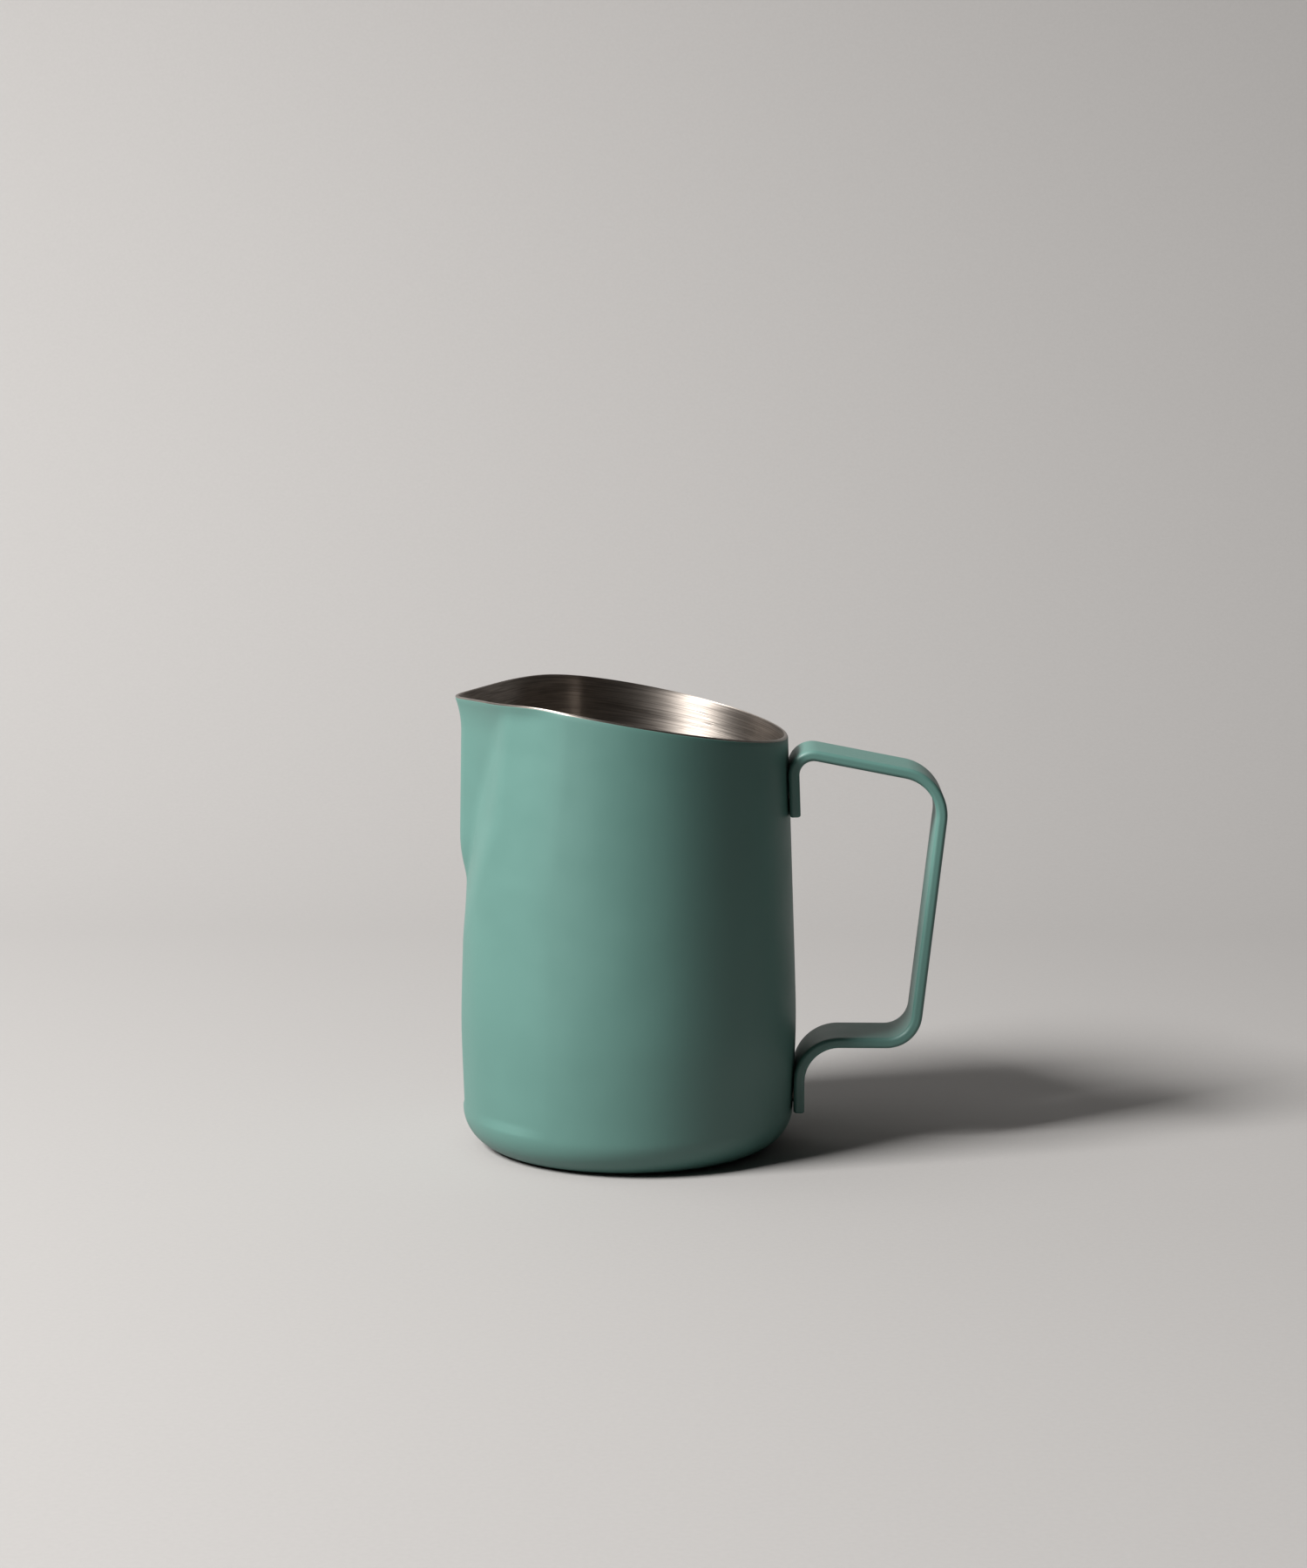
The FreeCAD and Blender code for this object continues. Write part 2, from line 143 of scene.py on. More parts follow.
class SpoutSizes(PropertyGroup):
    """Sizes of the pressed spout: a proud rib, a scoop beside it and a shallow cheek on each side."""

    scoop_start: length("Scoop start", 50, "Height where the front starts to be pressed in")
    scoop_full: length("Scoop full", 97, "Height where the scoops are at full depth")
    scoop_depth: length("Scoop depth", 4, "Depth of the scoops under the round wall")
    scoop_growth: ratio("Scoop growth", 1.1, "Power of the growth of the depth with height")
    scoop_turned: length("Scoop turned", 80, "Height where the scoops have turned away to their full angle")
    scoop_turn: angle("Scoop turn", 18, "Turn of a scoop away from the spout's direction")
    scoop_blend: length("Scoop blend", 1.6, "Softness of the turn from scoop to cheek")
    cheek_start: length("Cheek start", 66, "Height where the cheeks start")
    cheek_depth: length("Cheek depth", 1.5, "Depth of the cheeks under the round wall")
    cheek_turn: angle("Cheek turn", 45, "Turn of a cheek away from the spout's direction")
    cheek_blend: length("Cheek blend", 2.5, "Softness of the turn from cheek to round wall")
    rib_foot: length("Rib foot", 63, "Height of the lower tip of the rib")
    rib_top: length("Rib top", 108, "Height for which the rib's last sizes hold")
    rib_reach: length("Rib reach", 39.95, "Distance of the ridge from the axis, at the height of its foot")
    rib_taper: ratio("Rib taper", 0.0195, "Narrowing of that distance per unit of height")
    rib_run_in: length("Rib run-in", 12, "Height over which the ridge rises from the wall")
    rib_run_in_depth: length("Rib run-in depth", 2.2, "How far the ridge starts under its full reach")
    rib_nose_foot: length("Rib nose at foot", 5, "Radius of the ridge at its foot")
    rib_nose_top: length("Rib nose at top", 9.5, "Radius of the pouring nose")
    rib_flank_foot: angle(
        "Flank turn at foot", 41, "Turn of the flanks from the spout's direction, at the foot"
    )
    rib_flank_top: angle("Flank turn at top", 30, "Turn of the flanks from the spout's direction, at the top")
    valley_blend: length("Valley blend", 0.8, "Softness of the valley between rib and scoop")
    lip_height: length("Lip height", 99, "Height where the pouring lip starts to flare")
    lip_flare: length("Lip flare", 1.9, "Outward flare of the pouring lip")


class CoatingSizes(PropertyGroup):
    """Sizes of the powder coating on the cup."""

    film: length("Film", 0.12, "Thickness of the coating")
    rim_gap: length("Rim gap", 0.35, "Height of the bare steel edge above the coating")
    base_gap: length("Base gap", 0.5, "Height of the coating's lower edge")


class HandleSizes(PropertyGroup):
    """Sizes of the bent flat bar; places are those of its centre line."""

    width: length("Width", (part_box("handle")[1][1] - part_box("handle")[0][1]) / MM, "Width of the bar")
    thickness: length("Thickness", 2.55, "Thickness of the bar")
    edge: length("Edge", 0.9, "Rounding of the long edges")
    end_edge: length("End edge", 0.5, "Rounding around the two ends")
    lower_pad_end: length("Lower pad end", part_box("handle")[0][2] / MM, "Height of the bar's lower end")
    lower_pad_place: length("Lower pad place", 40.82, "Distance of the lower pad from the axis")
    lower_arm_height: length("Lower arm height", 25.6, "Height of the level lower arm")
    lower_pad_bend: length("Lower pad bend", 9.6, "Bend between lower pad and lower arm")
    grip_foot_place: length("Grip foot place", 67.85, "Distance of the grip line, at the lower arm")
    grip_foot_bend: length("Grip foot bend", 7.2, "Bend between lower arm and grip")
    grip_lean: angle("Grip lean", 6.4, "Lean of the grip away from the cup")
    grip_head_bend: length("Grip head bend", 10.35, "Bend between grip and upper arm")
    upper_arm_slope: angle("Upper arm slope", 10.9, "Fall of the upper arm towards the grip")
    upper_arm_height: length("Upper arm height", 95.33, "Height of the upper arm's line over the upper pad")
    upper_pad_bend: length("Upper pad bend", 4.6, "Bend between upper arm and upper pad")
    upper_pad_place: length("Upper pad place", 38.95, "Distance of the upper pad from the axis, at its top")
    upper_pad_lean: angle("Upper pad lean", 2.06, "Lean of the upper pad, which follows the wall")
    upper_pad_end: length("Upper pad end", 79.7, "Height of the bar's upper end")
    pad_gap: length("Pad gap", 0.15, "Gap between a pad and the coated wall")


class PaintFinish(PropertyGroup):
    """Finish of the powder coating and of the painted bar."""

    green: colour("Green", 0.064, 0.156, 0.135, "Colour of the powder coat")
    worn_green: colour("Thin green", 0.072, 0.174, 0.151, "Colour where the coat is drawn thin over an edge")
    roughness: ratio("Roughness", 0.52, "Mean roughness of the satin coat")
    refraction: ratio("Refraction", 1.6, "Refractive index of the satin coat")
    peel: length("Orange peel", 0.9, "Width of the coat's shallow waves")
    peel_depth: length("Orange peel depth", 0.006, "Depth of the coat's shallow waves")


class SteelFinish(PropertyGroup):
    """Finish of the brushed steel."""

    steel: colour("Steel", 0.42, 0.376, 0.34, "Colour of the steel")
    roughness: ratio("Roughness", 0.50, "Mean roughness of the brushed steel")
    anisotropy: ratio("Anisotropy", 0.88, "How far the brush lines stretch reflections across themselves")
    line_width: length("Line width", 0.28, "Width of a brush line")
    line_length: length("Line length", 12, "Length of a brush line")
    line_depth: length("Line depth", 0.03, "Depth of a brush line")


class StageLook(PropertyGroup):
    """Floor, backdrop, lights and camera."""

    paper: colour("Paper", 0.290, 0.283, 0.279, "Colour of the floor and backdrop")
    key_power: ratio("Key power", 58.0, "Power of the key light in watts")
    key_size: length("Key size", 500, "Side of the square key light")
    key_distance: length("Key distance", 1500, "Distance of the key light from the pitcher")
    key_elevation: angle("Key elevation", 42.5, "Height of the key light over the floor")
    key_bearing: angle("Key bearing", 29, "Turn of the key light from the spout's side towards the viewer")
    fill_level: ratio("Fill level", 0.008, "Strength of the even light of the room")
    backdrop_power: ratio("Backdrop power", 2.8, "Power of the light on the backdrop in watts")
    sweep_start: length("Sweep start", 250, "Distance behind the axis where the floor starts to curve up")
    sweep_radius: length("Sweep radius", 350, "Radius of the curve between floor and backdrop")
    lens: ratio("Lens", 78.52, "Focal length in millimetres on a 36 mm tall frame")
    camera_distance: length("Camera distance", 800, "Distance of the camera from the axis")
    camera_side: length("Camera side", 6.08, "Place of the camera to the right of the axis")
    camera_height: length("Camera height", 212.1, "Height of the camera over the floor")
    camera_tilt: angle("Camera tilt", 8.94, "How far the camera looks down")
    camera_turn: angle("Camera turn", 1.18, "Turn of the camera around the axis")


# ---------------------------------------------------------------- shape of the wall


def share(start, end, height):
    """Part of the way from start to end, not below nought."""
    return np.maximum(0.0, (height - start) / (end - start))


def rounded_min(one, other, width):
    """Smaller of two arrays, with the corner where they cross rounded over the width."""
    closeness = np.maximum(width - np.abs(one - other), 0.0) / width
    return np.minimum(one, other) - width * closeness**2 / 4


def round_radius(cup, height):
    """Radius without the spout: a cone each way from the widest height, joined by a hyperbola."""
    from_widest = np.hypot(height - cup.widest_height, cup.widest_softness)
    return cup.widest_radius - cup.wall_taper * (from_widest - cup.widest_softness)


def pressed_flat(round_distance, depth, turn, angle, inset):
    """Radius of a flat square to its own direction, which is turned away from the spout's."""
    off_flat = np.minimum(np.abs(angle - turn), STEEPEST_FLAT)
    return (round_distance - depth - inset) / np.cos(off_flat)


def ridge_arc(spout, height):
    """Centre distance and radius of the arc that rounds the rib's ridge, and the turn of its flanks."""
    below_full = np.maximum(0.0, 1 - share(spout.rib_foot, spout.rib_foot + spout.rib_run_in, height))
    ridge = spout.rib_reach - spout.rib_taper * (height - spout.rib_foot)
    ridge = ridge - spout.rib_run_in_depth * below_full**2
    ridge = ridge + spout.lip_flare * share(spout.lip_height, spout.rib_top, height) ** 2
    growth = np.minimum(share(spout.rib_foot, spout.rib_top, height), GROWTH_LIMIT) ** 2
    nose = spout.rib_nose_foot + (spout.rib_nose_top - spout.rib_nose_foot) * growth
    flank_turn = spout.rib_flank_foot + (spout.rib_flank_top - spout.rib_flank_foot) * growth
    return ridge - nose, nose, flank_turn


def wall_radius(scene, angle, height, inset):
    """Distance of the wall from the axis, at an angle from the spout, a height and an inset into the steel.

    The round body is cut on each side of the spout by a shallow flat cheek and by a deeper flat scoop
    (a distance over the cosine of the angle off the flat). The rib is laid over them: an arc around
    its ridge that runs on into two flat flanks. Where two of these cross, a parabola rounds the corner.
    """
    cup, spout = scene.pitcher_cup, scene.pitcher_spout
    angle = np.abs(angle)
    whole = round_radius(cup, height)
    cheek_depth = spout.cheek_depth * np.minimum(share(spout.cheek_start, spout.scoop_full, height), 1)
    cheek = pressed_flat(whole, cheek_depth, spout.cheek_turn, angle, inset)
    body = rounded_min(whole - inset, cheek, spout.cheek_blend)
    grown = np.minimum(share(spout.scoop_start, spout.scoop_full, height), 1) ** spout.scoop_growth
    depth = spout.scoop_depth * grown
    turn = spout.scoop_turn * np.minimum(share(spout.scoop_start, spout.scoop_turned, height), 1)
    body = rounded_min(body, pressed_flat(whole, depth, turn, angle, inset), spout.scoop_blend)
    centre, nose, flank_turn = ridge_arc(spout, height)
    nose = nose - inset
    arc_end = np.arctan2(nose * np.sin(flank_turn), centre + nose * np.cos(flank_turn))
    across = np.minimum(centre * np.sin(angle), nose)
    on_arc = centre * np.cos(angle) + np.sqrt(nose**2 - across**2)
    on_flank = (centre * np.cos(flank_turn) + nose) / np.cos(np.minimum(angle - flank_turn, 0.0))
    rib = np.where(angle < arc_end, on_arc, on_flank)
    with_rib = -rounded_min(-body, -rib, spout.valley_blend)
    return np.where(height < spout.rib_foot - spout.rib_run_in, body, with_rib)


def rim_height(cup, x):
    """Height of the rim over a place along X: a line, less a hyperbola around the fold and a parabola."""
    fold = np.hypot(x - cup.rim_fold_place, cup.rim_fold_softness) - cup.rim_fold_softness
    return cup.rim_level - cup.rim_fall * x - cup.rim_fold * fold - cup.rim_curve * x**2


def column_angles():
    """Angles from the spout, crowded towards it: an even angle less a share of its sine."""
    even = np.linspace(0, 2 * math.pi, COLUMNS, endpoint=False)
    return even - FRONT_CROWDING * np.sin(even)


def signed(angles):
    """The same angles between minus and plus half a turn."""
    return (angles + math.pi) % (2 * math.pi) - math.pi


def around(radius, angles, height):
    """Points at a radius, an angle from the spout and a height, as one array."""
    radius, angles, height = np.broadcast_arrays(radius, angles, height)
    return np.stack([-radius * np.cos(angles), radius * np.sin(angles), height], axis=-1)


def rim_over(scene, angles, inset):
    """Height of the rim over the wall at each angle; a few rounds settle it, as the slopes are small."""
    cup = scene.pitcher_cup
    height = np.full_like(angles, cup.rim_level)
    for _ in range(RIM_ROUNDS):
        radius = wall_radius(scene, angles, height, inset)
        height = rim_height(cup, -radius * np.cos(angles))
    return height


def corner_rows(scene, angles, inset, lifts):
    """Rows of the base corner: an arc about the corner's centre, turned around the axis."""
    cup = scene.pitcher_cup
    lift = lifts[:, None]
    corner = cup.base_corner
    flat = round_radius(cup, corner) - corner
    radius = flat + (corner - inset) * np.sin(lift)
    height = corner - (corner - inset) * np.cos(lift)
    return around(radius, angles, height)


def side_rows(scene, angles, inset, below_rim, shares):
    """Rows of the wall from the corner up to a distance below the rim."""
    start = scene.pitcher_cup.base_corner
    top = rim_over(scene, angles, inset) - below_rim
    height = start + shares[:, None] * (top - start)
    return around(wall_radius(scene, angles, height, inset), angles, height)


def rim_rows(scene, angles, insets, depths):
    """Rows around the rim, each at its own inset into the steel and its own depth below the rim."""
    rows = []
    for inset, depth in zip(insets, depths):
        height = rim_over(scene, angles, inset) - depth
        rows.append(around(wall_radius(scene, angles, height, inset), angles, height))
    return np.array(rows)


# ---------------------------------------------------------------- meshes


def add_object(name, mesh):
    piece = bpy.data.objects.new(name, mesh)
    bpy.context.scene.collection.objects.link(piece)
    return piece


def quad_corners(rows, columns, closed_rows):
    """Vertex numbers of each quad, ordered so that it faces away from the inside."""
    row = np.arange(rows if closed_rows else rows - 1)[:, None]
    column = np.arange(columns)[None, :]
    after = (row + 1) % rows
    beside = (column + 1) % columns
    quads = (
        row * columns + column,
        after * columns + column,
        after * columns + beside,
        row * columns + beside,
    )
    return np.stack(quads, axis=-1).reshape(-1, 4)


def quad_map(along, rows, columns, closed_rows):
    """Map of each quad's corners: U is the share of the turn, V the distance along the rows."""
    low = np.arange(rows if closed_rows else rows - 1)
    high = np.minimum(low + 1, rows - 1)
    u = np.arange(columns) / columns
    corners = []
    for row, shift in ((low, 0), (high, 0), (high, 1), (low, 1)):
        corners.append(np.stack(np.meshgrid(u + shift / columns, along[row]), axis=-1))
    return np.stack(corners, axis=2).reshape(-1, 2)


def pole_fan(ring, columns, centre, along_ring, along_pole, first):
    """Triangles from a pole to a row, with their map."""
    one = ring * columns + np.arange(columns)
    other = ring * columns + (np.arange(columns) + 1) % columns
    u = np.arange(columns) / columns
    pairs = [(one, u), (other, u + 1 / columns)]
    if not first:
        pairs.reverse()
    fan = np.stack([np.full(columns, centre)] + [numbers for numbers, _ in pairs], axis=-1)
    middle = np.stack([u + 0.5 / columns, np.full(columns, along_pole)], axis=-1)
    sides = [np.stack([place, np.full(columns, along_ring)], axis=-1) for _, place in pairs]
    return fan, np.stack([middle] + sides, axis=1).reshape(-1, 2)


def grid_mesh(name, rows, closed_rows=False, poles=()):
    """Mesh of rows that each close on themselves, with its own UV map.

    The last row either closes on the first one, or the first and last row each run to a pole.
    """
    count, columns = rows.shape[:2]
    points = rows.reshape(-1, 3)
    steps = np.linalg.norm(np.diff(rows, axis=0), axis=2).mean(axis=1)
    along = np.concatenate([[0.0], np.cumsum(steps)])
    faces = [quad_corners(count, columns, closed_rows)]
    maps = [quad_map(along, count, columns, closed_rows)]
    for pole, ring, first in zip(poles, (0, count - 1), (True, False)):
        reach = np.linalg.norm(rows[ring] - pole, axis=1).mean()
        along_pole = along[ring] - reach if first else along[ring] + reach
        fan, fan_map = pole_fan(ring, columns, len(points), along[ring], along_pole, first)
        points = np.vstack([points, pole])
        faces.append(fan)
        maps.append(fan_map)
    corners = np.concatenate([face.ravel() for face in faces]).astype(np.int32)
    sizes = np.concatenate([np.full(len(face), face.shape[1]) for face in faces])
    starts = np.concatenate([[0], np.cumsum(sizes)[:-1]]).astype(np.int32)
    mesh = bpy.data.meshes.new(name)
    mesh.vertices.add(len(points))
    mesh.vertices.foreach_set("co", points.astype(np.float32).ravel())
    mesh.loops.add(len(corners))
    mesh.loops.foreach_set("vertex_index", corners)
    mesh.polygons.add(len(starts))
    mesh.polygons.foreach_set("loop_start", starts)
    mesh.polygons.foreach_set("use_smooth", np.ones(len(starts), dtype=bool))
    layer = mesh.uv_layers.new(name=SURFACE_MAP)
    layer.data.foreach_set("uv", np.concatenate(maps).astype(np.float32).ravel())
    mesh.update(calc_edges=True)
    return mesh


def finish_piece(piece, material, node):
    """Give a new piece its finish, let it ride with the body and stand for its node."""
    piece.data.materials.append(material)
    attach(piece, BODY)
    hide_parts(node)


# ---------------------------------------------------------------- materials


def new_group(name, inputs, outputs):
    """Empty shader node group with its named sockets; returns the tree and its two end nodes."""
    tree = bpy.data.node_groups.new(name, "ShaderNodeTree")
    for label, kind, default in inputs:
        socket = tree.interface.new_socket(name=label, in_out="INPUT", socket_type=kind)
        if default is not None:
            socket.default_value = default
    for label, kind in outputs:
        tree.interface.new_socket(name=label, in_out="OUTPUT", socket_type=kind)
    return tree, tree.nodes.new("NodeGroupInput"), tree.nodes.new("NodeGroupOutput")


def add_node(tree, kind, **settings):
    node = tree.nodes.new(kind)
    for key, value in settings.items():
        setattr(node, key, value)
    return node


def connect(tree, source, target):
    tree.links.new(source, target)


def math_node(tree, operation, one, other):
    """Math node; each of its two values is a number or a socket."""
    node = add_node(tree, "ShaderNodeMath", operation=operation)
    for socket, value in zip(node.inputs, (one, other)):
        if isinstance(value, (int, float)):
            socket.default_value = value
        else:
            connect(tree, value, socket)
    return node.outputs[0]


def remap(tree, value, low, high, to_low, to_high):
    """Map Range node from one span to another."""
    node = add_node(tree, "ShaderNodeMapRange")
    connect(tree, value, node.inputs["Value"])
    for label, number in (("From Min", low), ("From Max", high), ("To Min", to_low), ("To Max", to_high)):
        if isinstance(number, (int, float)):
            node.inputs[label].default_value = number
        else:
            connect(tree, number, node.inputs[label])
    return node.outputs["Result"]


def noise(tree, vector, scale, detail, roughness=0.5):
    """Noise texture's value; the scale is a number or a socket."""
    node = add_node(tree, "ShaderNodeTexNoise")
    connect(tree, vector, node.inputs["Vector"])
    if isinstance(scale, (int, float)):
        node.inputs["Scale"].default_value = scale
    else:
        connect(tree, scale, node.inputs["Scale"])
    node.inputs["Detail"].default_value = detail
    node.inputs["Roughness"].default_value = roughness
    return node.outputs["Fac"]


def coat_texture_group():
    """Shallow waves and fine grain of a sprayed and baked powder coat."""
    tree, start, end = new_group(
        "Coat texture",
        (
            ("Vector", "NodeSocketVector", None),
            ("Wave Width", "NodeSocketFloat", 0.0009),
            ("Grain Share", "NodeSocketFloat", 0.25),
        ),
        (("Height", "NodeSocketFloat"), ("Mottle", "NodeSocketFloat"), ("Grain", "NodeSocketFloat")),
    )
    vector = start.outputs["Vector"]
    wave_scale = math_node(tree, "DIVIDE", 1.0, start.outputs["Wave Width"])
    waves = noise(tree, vector, wave_scale, 1.0)
    grain_scale = math_node(tree, "MULTIPLY", wave_scale, 5.0)
    grain = noise(tree, vector, grain_scale, 1.0)
    share_of_grain = math_node(tree, "MULTIPLY", grain, start.outputs["Grain Share"])
    connect(tree, math_node(tree, "ADD", waves, share_of_grain), end.inputs["Height"])
    mottle_scale = math_node(tree, "DIVIDE", wave_scale, 14.0)
    connect(tree, noise(tree, vector, mottle_scale, 3.0), end.inputs["Mottle"])
    connect(tree, grain, end.inputs["Grain"])
    return tree


def brush_lines_group():
    """Brush lines that run around the cup: noise drawn out along the turn, in three widths."""
    tree, start, end = new_group(
        "Brush lines",
        (
            ("Around", "NodeSocketVector", None),
            ("Along", "NodeSocketFloat", 0.0),
            ("Line Width", "NodeSocketFloat", 0.00016),
            ("Line Length", "NodeSocketFloat", 0.014),
        ),
        (("Lines", "NodeSocketFloat"), ("Bands", "NodeSocketFloat"), ("Scratches", "NodeSocketFloat")),
    )
    split = add_node(tree, "ShaderNodeSeparateXYZ")
    connect(tree, start.outputs["Around"], split.inputs[0])
    results = []
    for width_factor, length_factor, detail in ((1.0, 1.0, 2.0), (9.0, 2.2, 2.0), (2.2, 0.45, 1.0)):
        line_length = math_node(tree, "MULTIPLY", start.outputs["Line Length"], length_factor)
        line_width = math_node(tree, "MULTIPLY", start.outputs["Line Width"], width_factor)
        joined = add_node(tree, "ShaderNodeCombineXYZ")
        connect(tree, math_node(tree, "DIVIDE", split.outputs["X"], line_length), joined.inputs["X"])
        connect(tree, math_node(tree, "DIVIDE", split.outputs["Y"], line_length), joined.inputs["Y"])
        connect(tree, math_node(tree, "DIVIDE", start.outputs["Along"], line_width), joined.inputs["Z"])
        results.append(noise(tree, joined.outputs[0], 1.0, detail, 0.6))
    lines, bands, marks = results
    connect(tree, lines, end.inputs["Lines"])
    connect(tree, bands, end.inputs["Bands"])
    connect(tree, remap(tree, marks, 0.66, 0.74, 0.0, 1.0), end.inputs["Scratches"])
    return tree


def place_group(tree, group, **values):
    node = add_node(tree, "ShaderNodeGroup", node_tree=group)
    for label, value in values.items():
        socket = node.inputs[label.replace("_", " ")]
        if isinstance(value, (int, float)):
            socket.default_value = value
        else:
            connect(tree, value, socket)
    return node


def new_material(name):
    """Material with only its output and a Principled BSDF; returns material, tree and shader."""
    material = bpy.data.materials.new(name)
    material.use_nodes = True
    tree = material.node_tree
    shader = next(node for node in tree.nodes if node.type == "BSDF_PRINCIPLED")
    return material, tree, shader


def mix_colour(tree, factor, one, other):
    """Mix of two colours by a factor socket."""
    node = add_node(tree, "ShaderNodeMix", data_type="RGBA")
    connect(tree, factor, node.inputs["Factor"])
    node.inputs["A"].default_value = (*one, 1)
    node.inputs["B"].default_value = (*other, 1)
    return next(socket for socket in node.outputs if socket.type == "RGBA")


def paint_material(scene, group, name):
    """Sage green satin powder coat with orange peel, faint mottling and fine grain."""
    finish = scene.pitcher_paint
    material, tree, shader = new_material(name)
    place = add_node(tree, "ShaderNodeTexCoord").outputs["Object"]
    texture = place_group(tree, group, Vector=place, Wave_Width=finish.peel)
    tint = remap(tree, texture.outputs["Mottle"], 0.35, 0.65, 0.0, 0.35)
    connect(tree, mix_colour(tree, tint, finish.green, finish.worn_green), shader.inputs["Base Color"])
    rough = remap(
        tree, texture.outputs["Mottle"], 0.3, 0.7, finish.roughness - 0.04, finish.roughness + 0.04
    )
    grain = remap(tree, texture.outputs["Grain"], 0.3, 0.7, -0.03, 0.03)
    connect(tree, math_node(tree, "ADD", rough, grain), shader.inputs["Roughness"])
    bump = add_node(tree, "ShaderNodeBump")
    bump.inputs["Distance"].default_value = finish.peel_depth
    bump.inputs["Strength"].default_value = 1.0
    connect(tree, texture.outputs["Height"], bump.inputs["Height"])
    connect(tree, bump.outputs["Normal"], shader.inputs["Normal"])
    shader.inputs["IOR"].default_value = finish.refraction
    return material


def steel_material(scene, group, name, on_surface):
    """Steel brushed around the axis; its lines follow the surface's own map, or height on plain nodes."""
    finish = scene.pitcher_steel
    material, tree, shader = new_material(name)
    place = add_node(tree, "ShaderNodeTexCoord")
    split = add_node(tree, "ShaderNodeSeparateXYZ")
    if on_surface:
        surface = add_node(tree, "ShaderNodeUVMap", uv_map=SURFACE_MAP)
        connect(tree, surface.outputs["UV"], split.inputs[0])
        along = split.outputs["Y"]
        turn = math_node(tree, "MULTIPLY", split.outputs["X"], 2 * math.pi)
        circle = add_node(tree, "ShaderNodeCombineXYZ")
        radius = scene.pitcher_cup.widest_radius
        for axis, operation in (("X", "COSINE"), ("Y", "SINE")):
            swing = math_node(tree, operation, turn, 0.0)
            connect(tree, math_node(tree, "MULTIPLY", swing, radius), circle.inputs[axis])
        around_socket = circle.outputs[0]
    else:
        connect(tree, place.outputs["Object"], split.inputs[0])
        along = split.outputs["Z"]
        around_socket = place.outputs["Object"]
    lines = place_group(
        tree,
        group,
        Around=around_socket,
        Along=along,
        Line_Width=finish.line_width,
        Line_Length=finish.line_length,
    )
    darker = tuple(LINE_SHADE * part for part in finish.steel)
    tint = remap(tree, lines.outputs["Lines"], 0.36, 0.6, 0.0, 1.0)
    connect(tree, mix_colour(tree, tint, darker, finish.steel), shader.inputs["Base Color"])
    rough = remap(tree, lines.outputs["Bands"], 0.3, 0.7, finish.roughness - 0.06, finish.roughness + 0.06)
    sharper = math_node(tree, "MULTIPLY", lines.outputs["Scratches"], -0.08)
    connect(tree, math_node(tree, "ADD", rough, sharper), shader.inputs["Roughness"])
    marks = math_node(tree, "MULTIPLY", lines.outputs["Scratches"], 0.8)
    relief = math_node(tree, "SUBTRACT", lines.outputs["Lines"], marks)
    bump = add_node(tree, "ShaderNodeBump")
    bump.inputs["Distance"].default_value = finish.line_depth
    bump.inputs["Strength"].default_value = 1.0
    connect(tree, relief, bump.inputs["Height"])
    connect(tree, bump.outputs["Normal"], shader.inputs["Normal"])
    shader.inputs["Metallic"].default_value = 1.0
    shader.inputs["Anisotropic"].default_value = finish.anisotropy
    shader.inputs["Anisotropic Rotation"].default_value = QUARTER_TURN
    return material


def shared_group(name, make):
    """The node group of that name, built on its first use."""
    return bpy.data.node_groups.get(name) or make()


def shared_material(name, make):
    """The material of that name, built on its first use."""
    return bpy.data.materials.get(name) or make(name)


def green_paint(scene):
    group = shared_group("Coat texture", coat_texture_group)
    return shared_material("Green powder coat", lambda name: paint_material(scene, group, name))


def cup_steel(scene):
    group = shared_group("Brush lines", brush_lines_group)
    return shared_material("Brushed cup steel", lambda name: steel_material(scene, group, name, True))


def weld_steel(scene):
    group = shared_group("Brush lines", brush_lines_group)
    return shared_material("Weld steel", lambda name: steel_material(scene, group, name, False))


# ---------------------------------------------------------------- handle


def bar_corners(handle):
    """Corner points of the bar's centre line in the XZ-plane, from the lower pad to the upper pad."""
    lean = math.tan(handle.grip_lean)
    slope = math.tan(handle.upper_arm_slope)
    rise = handle.upper_arm_height - handle.lower_arm_height
    reach = handle.grip_foot_place - handle.upper_pad_place
    head = (rise - slope * reach) / (1 + slope * lean)
    pad_drop = handle.upper_arm_height - handle.upper_pad_end
    return np.array(
        [
            (handle.lower_pad_place, handle.lower_pad_end),
            (handle.lower_pad_place, handle.lower_arm_height),
            (handle.grip_foot_place, handle.lower_arm_height),
            (handle.grip_foot_place + lean * head, handle.lower_arm_height + head),
            (handle.upper_pad_place, handle.upper_arm_height),
            (handle.upper_pad_place + math.tan(handle.upper_pad_lean) * pad_drop, handle.upper_pad_end),
        ]
    )


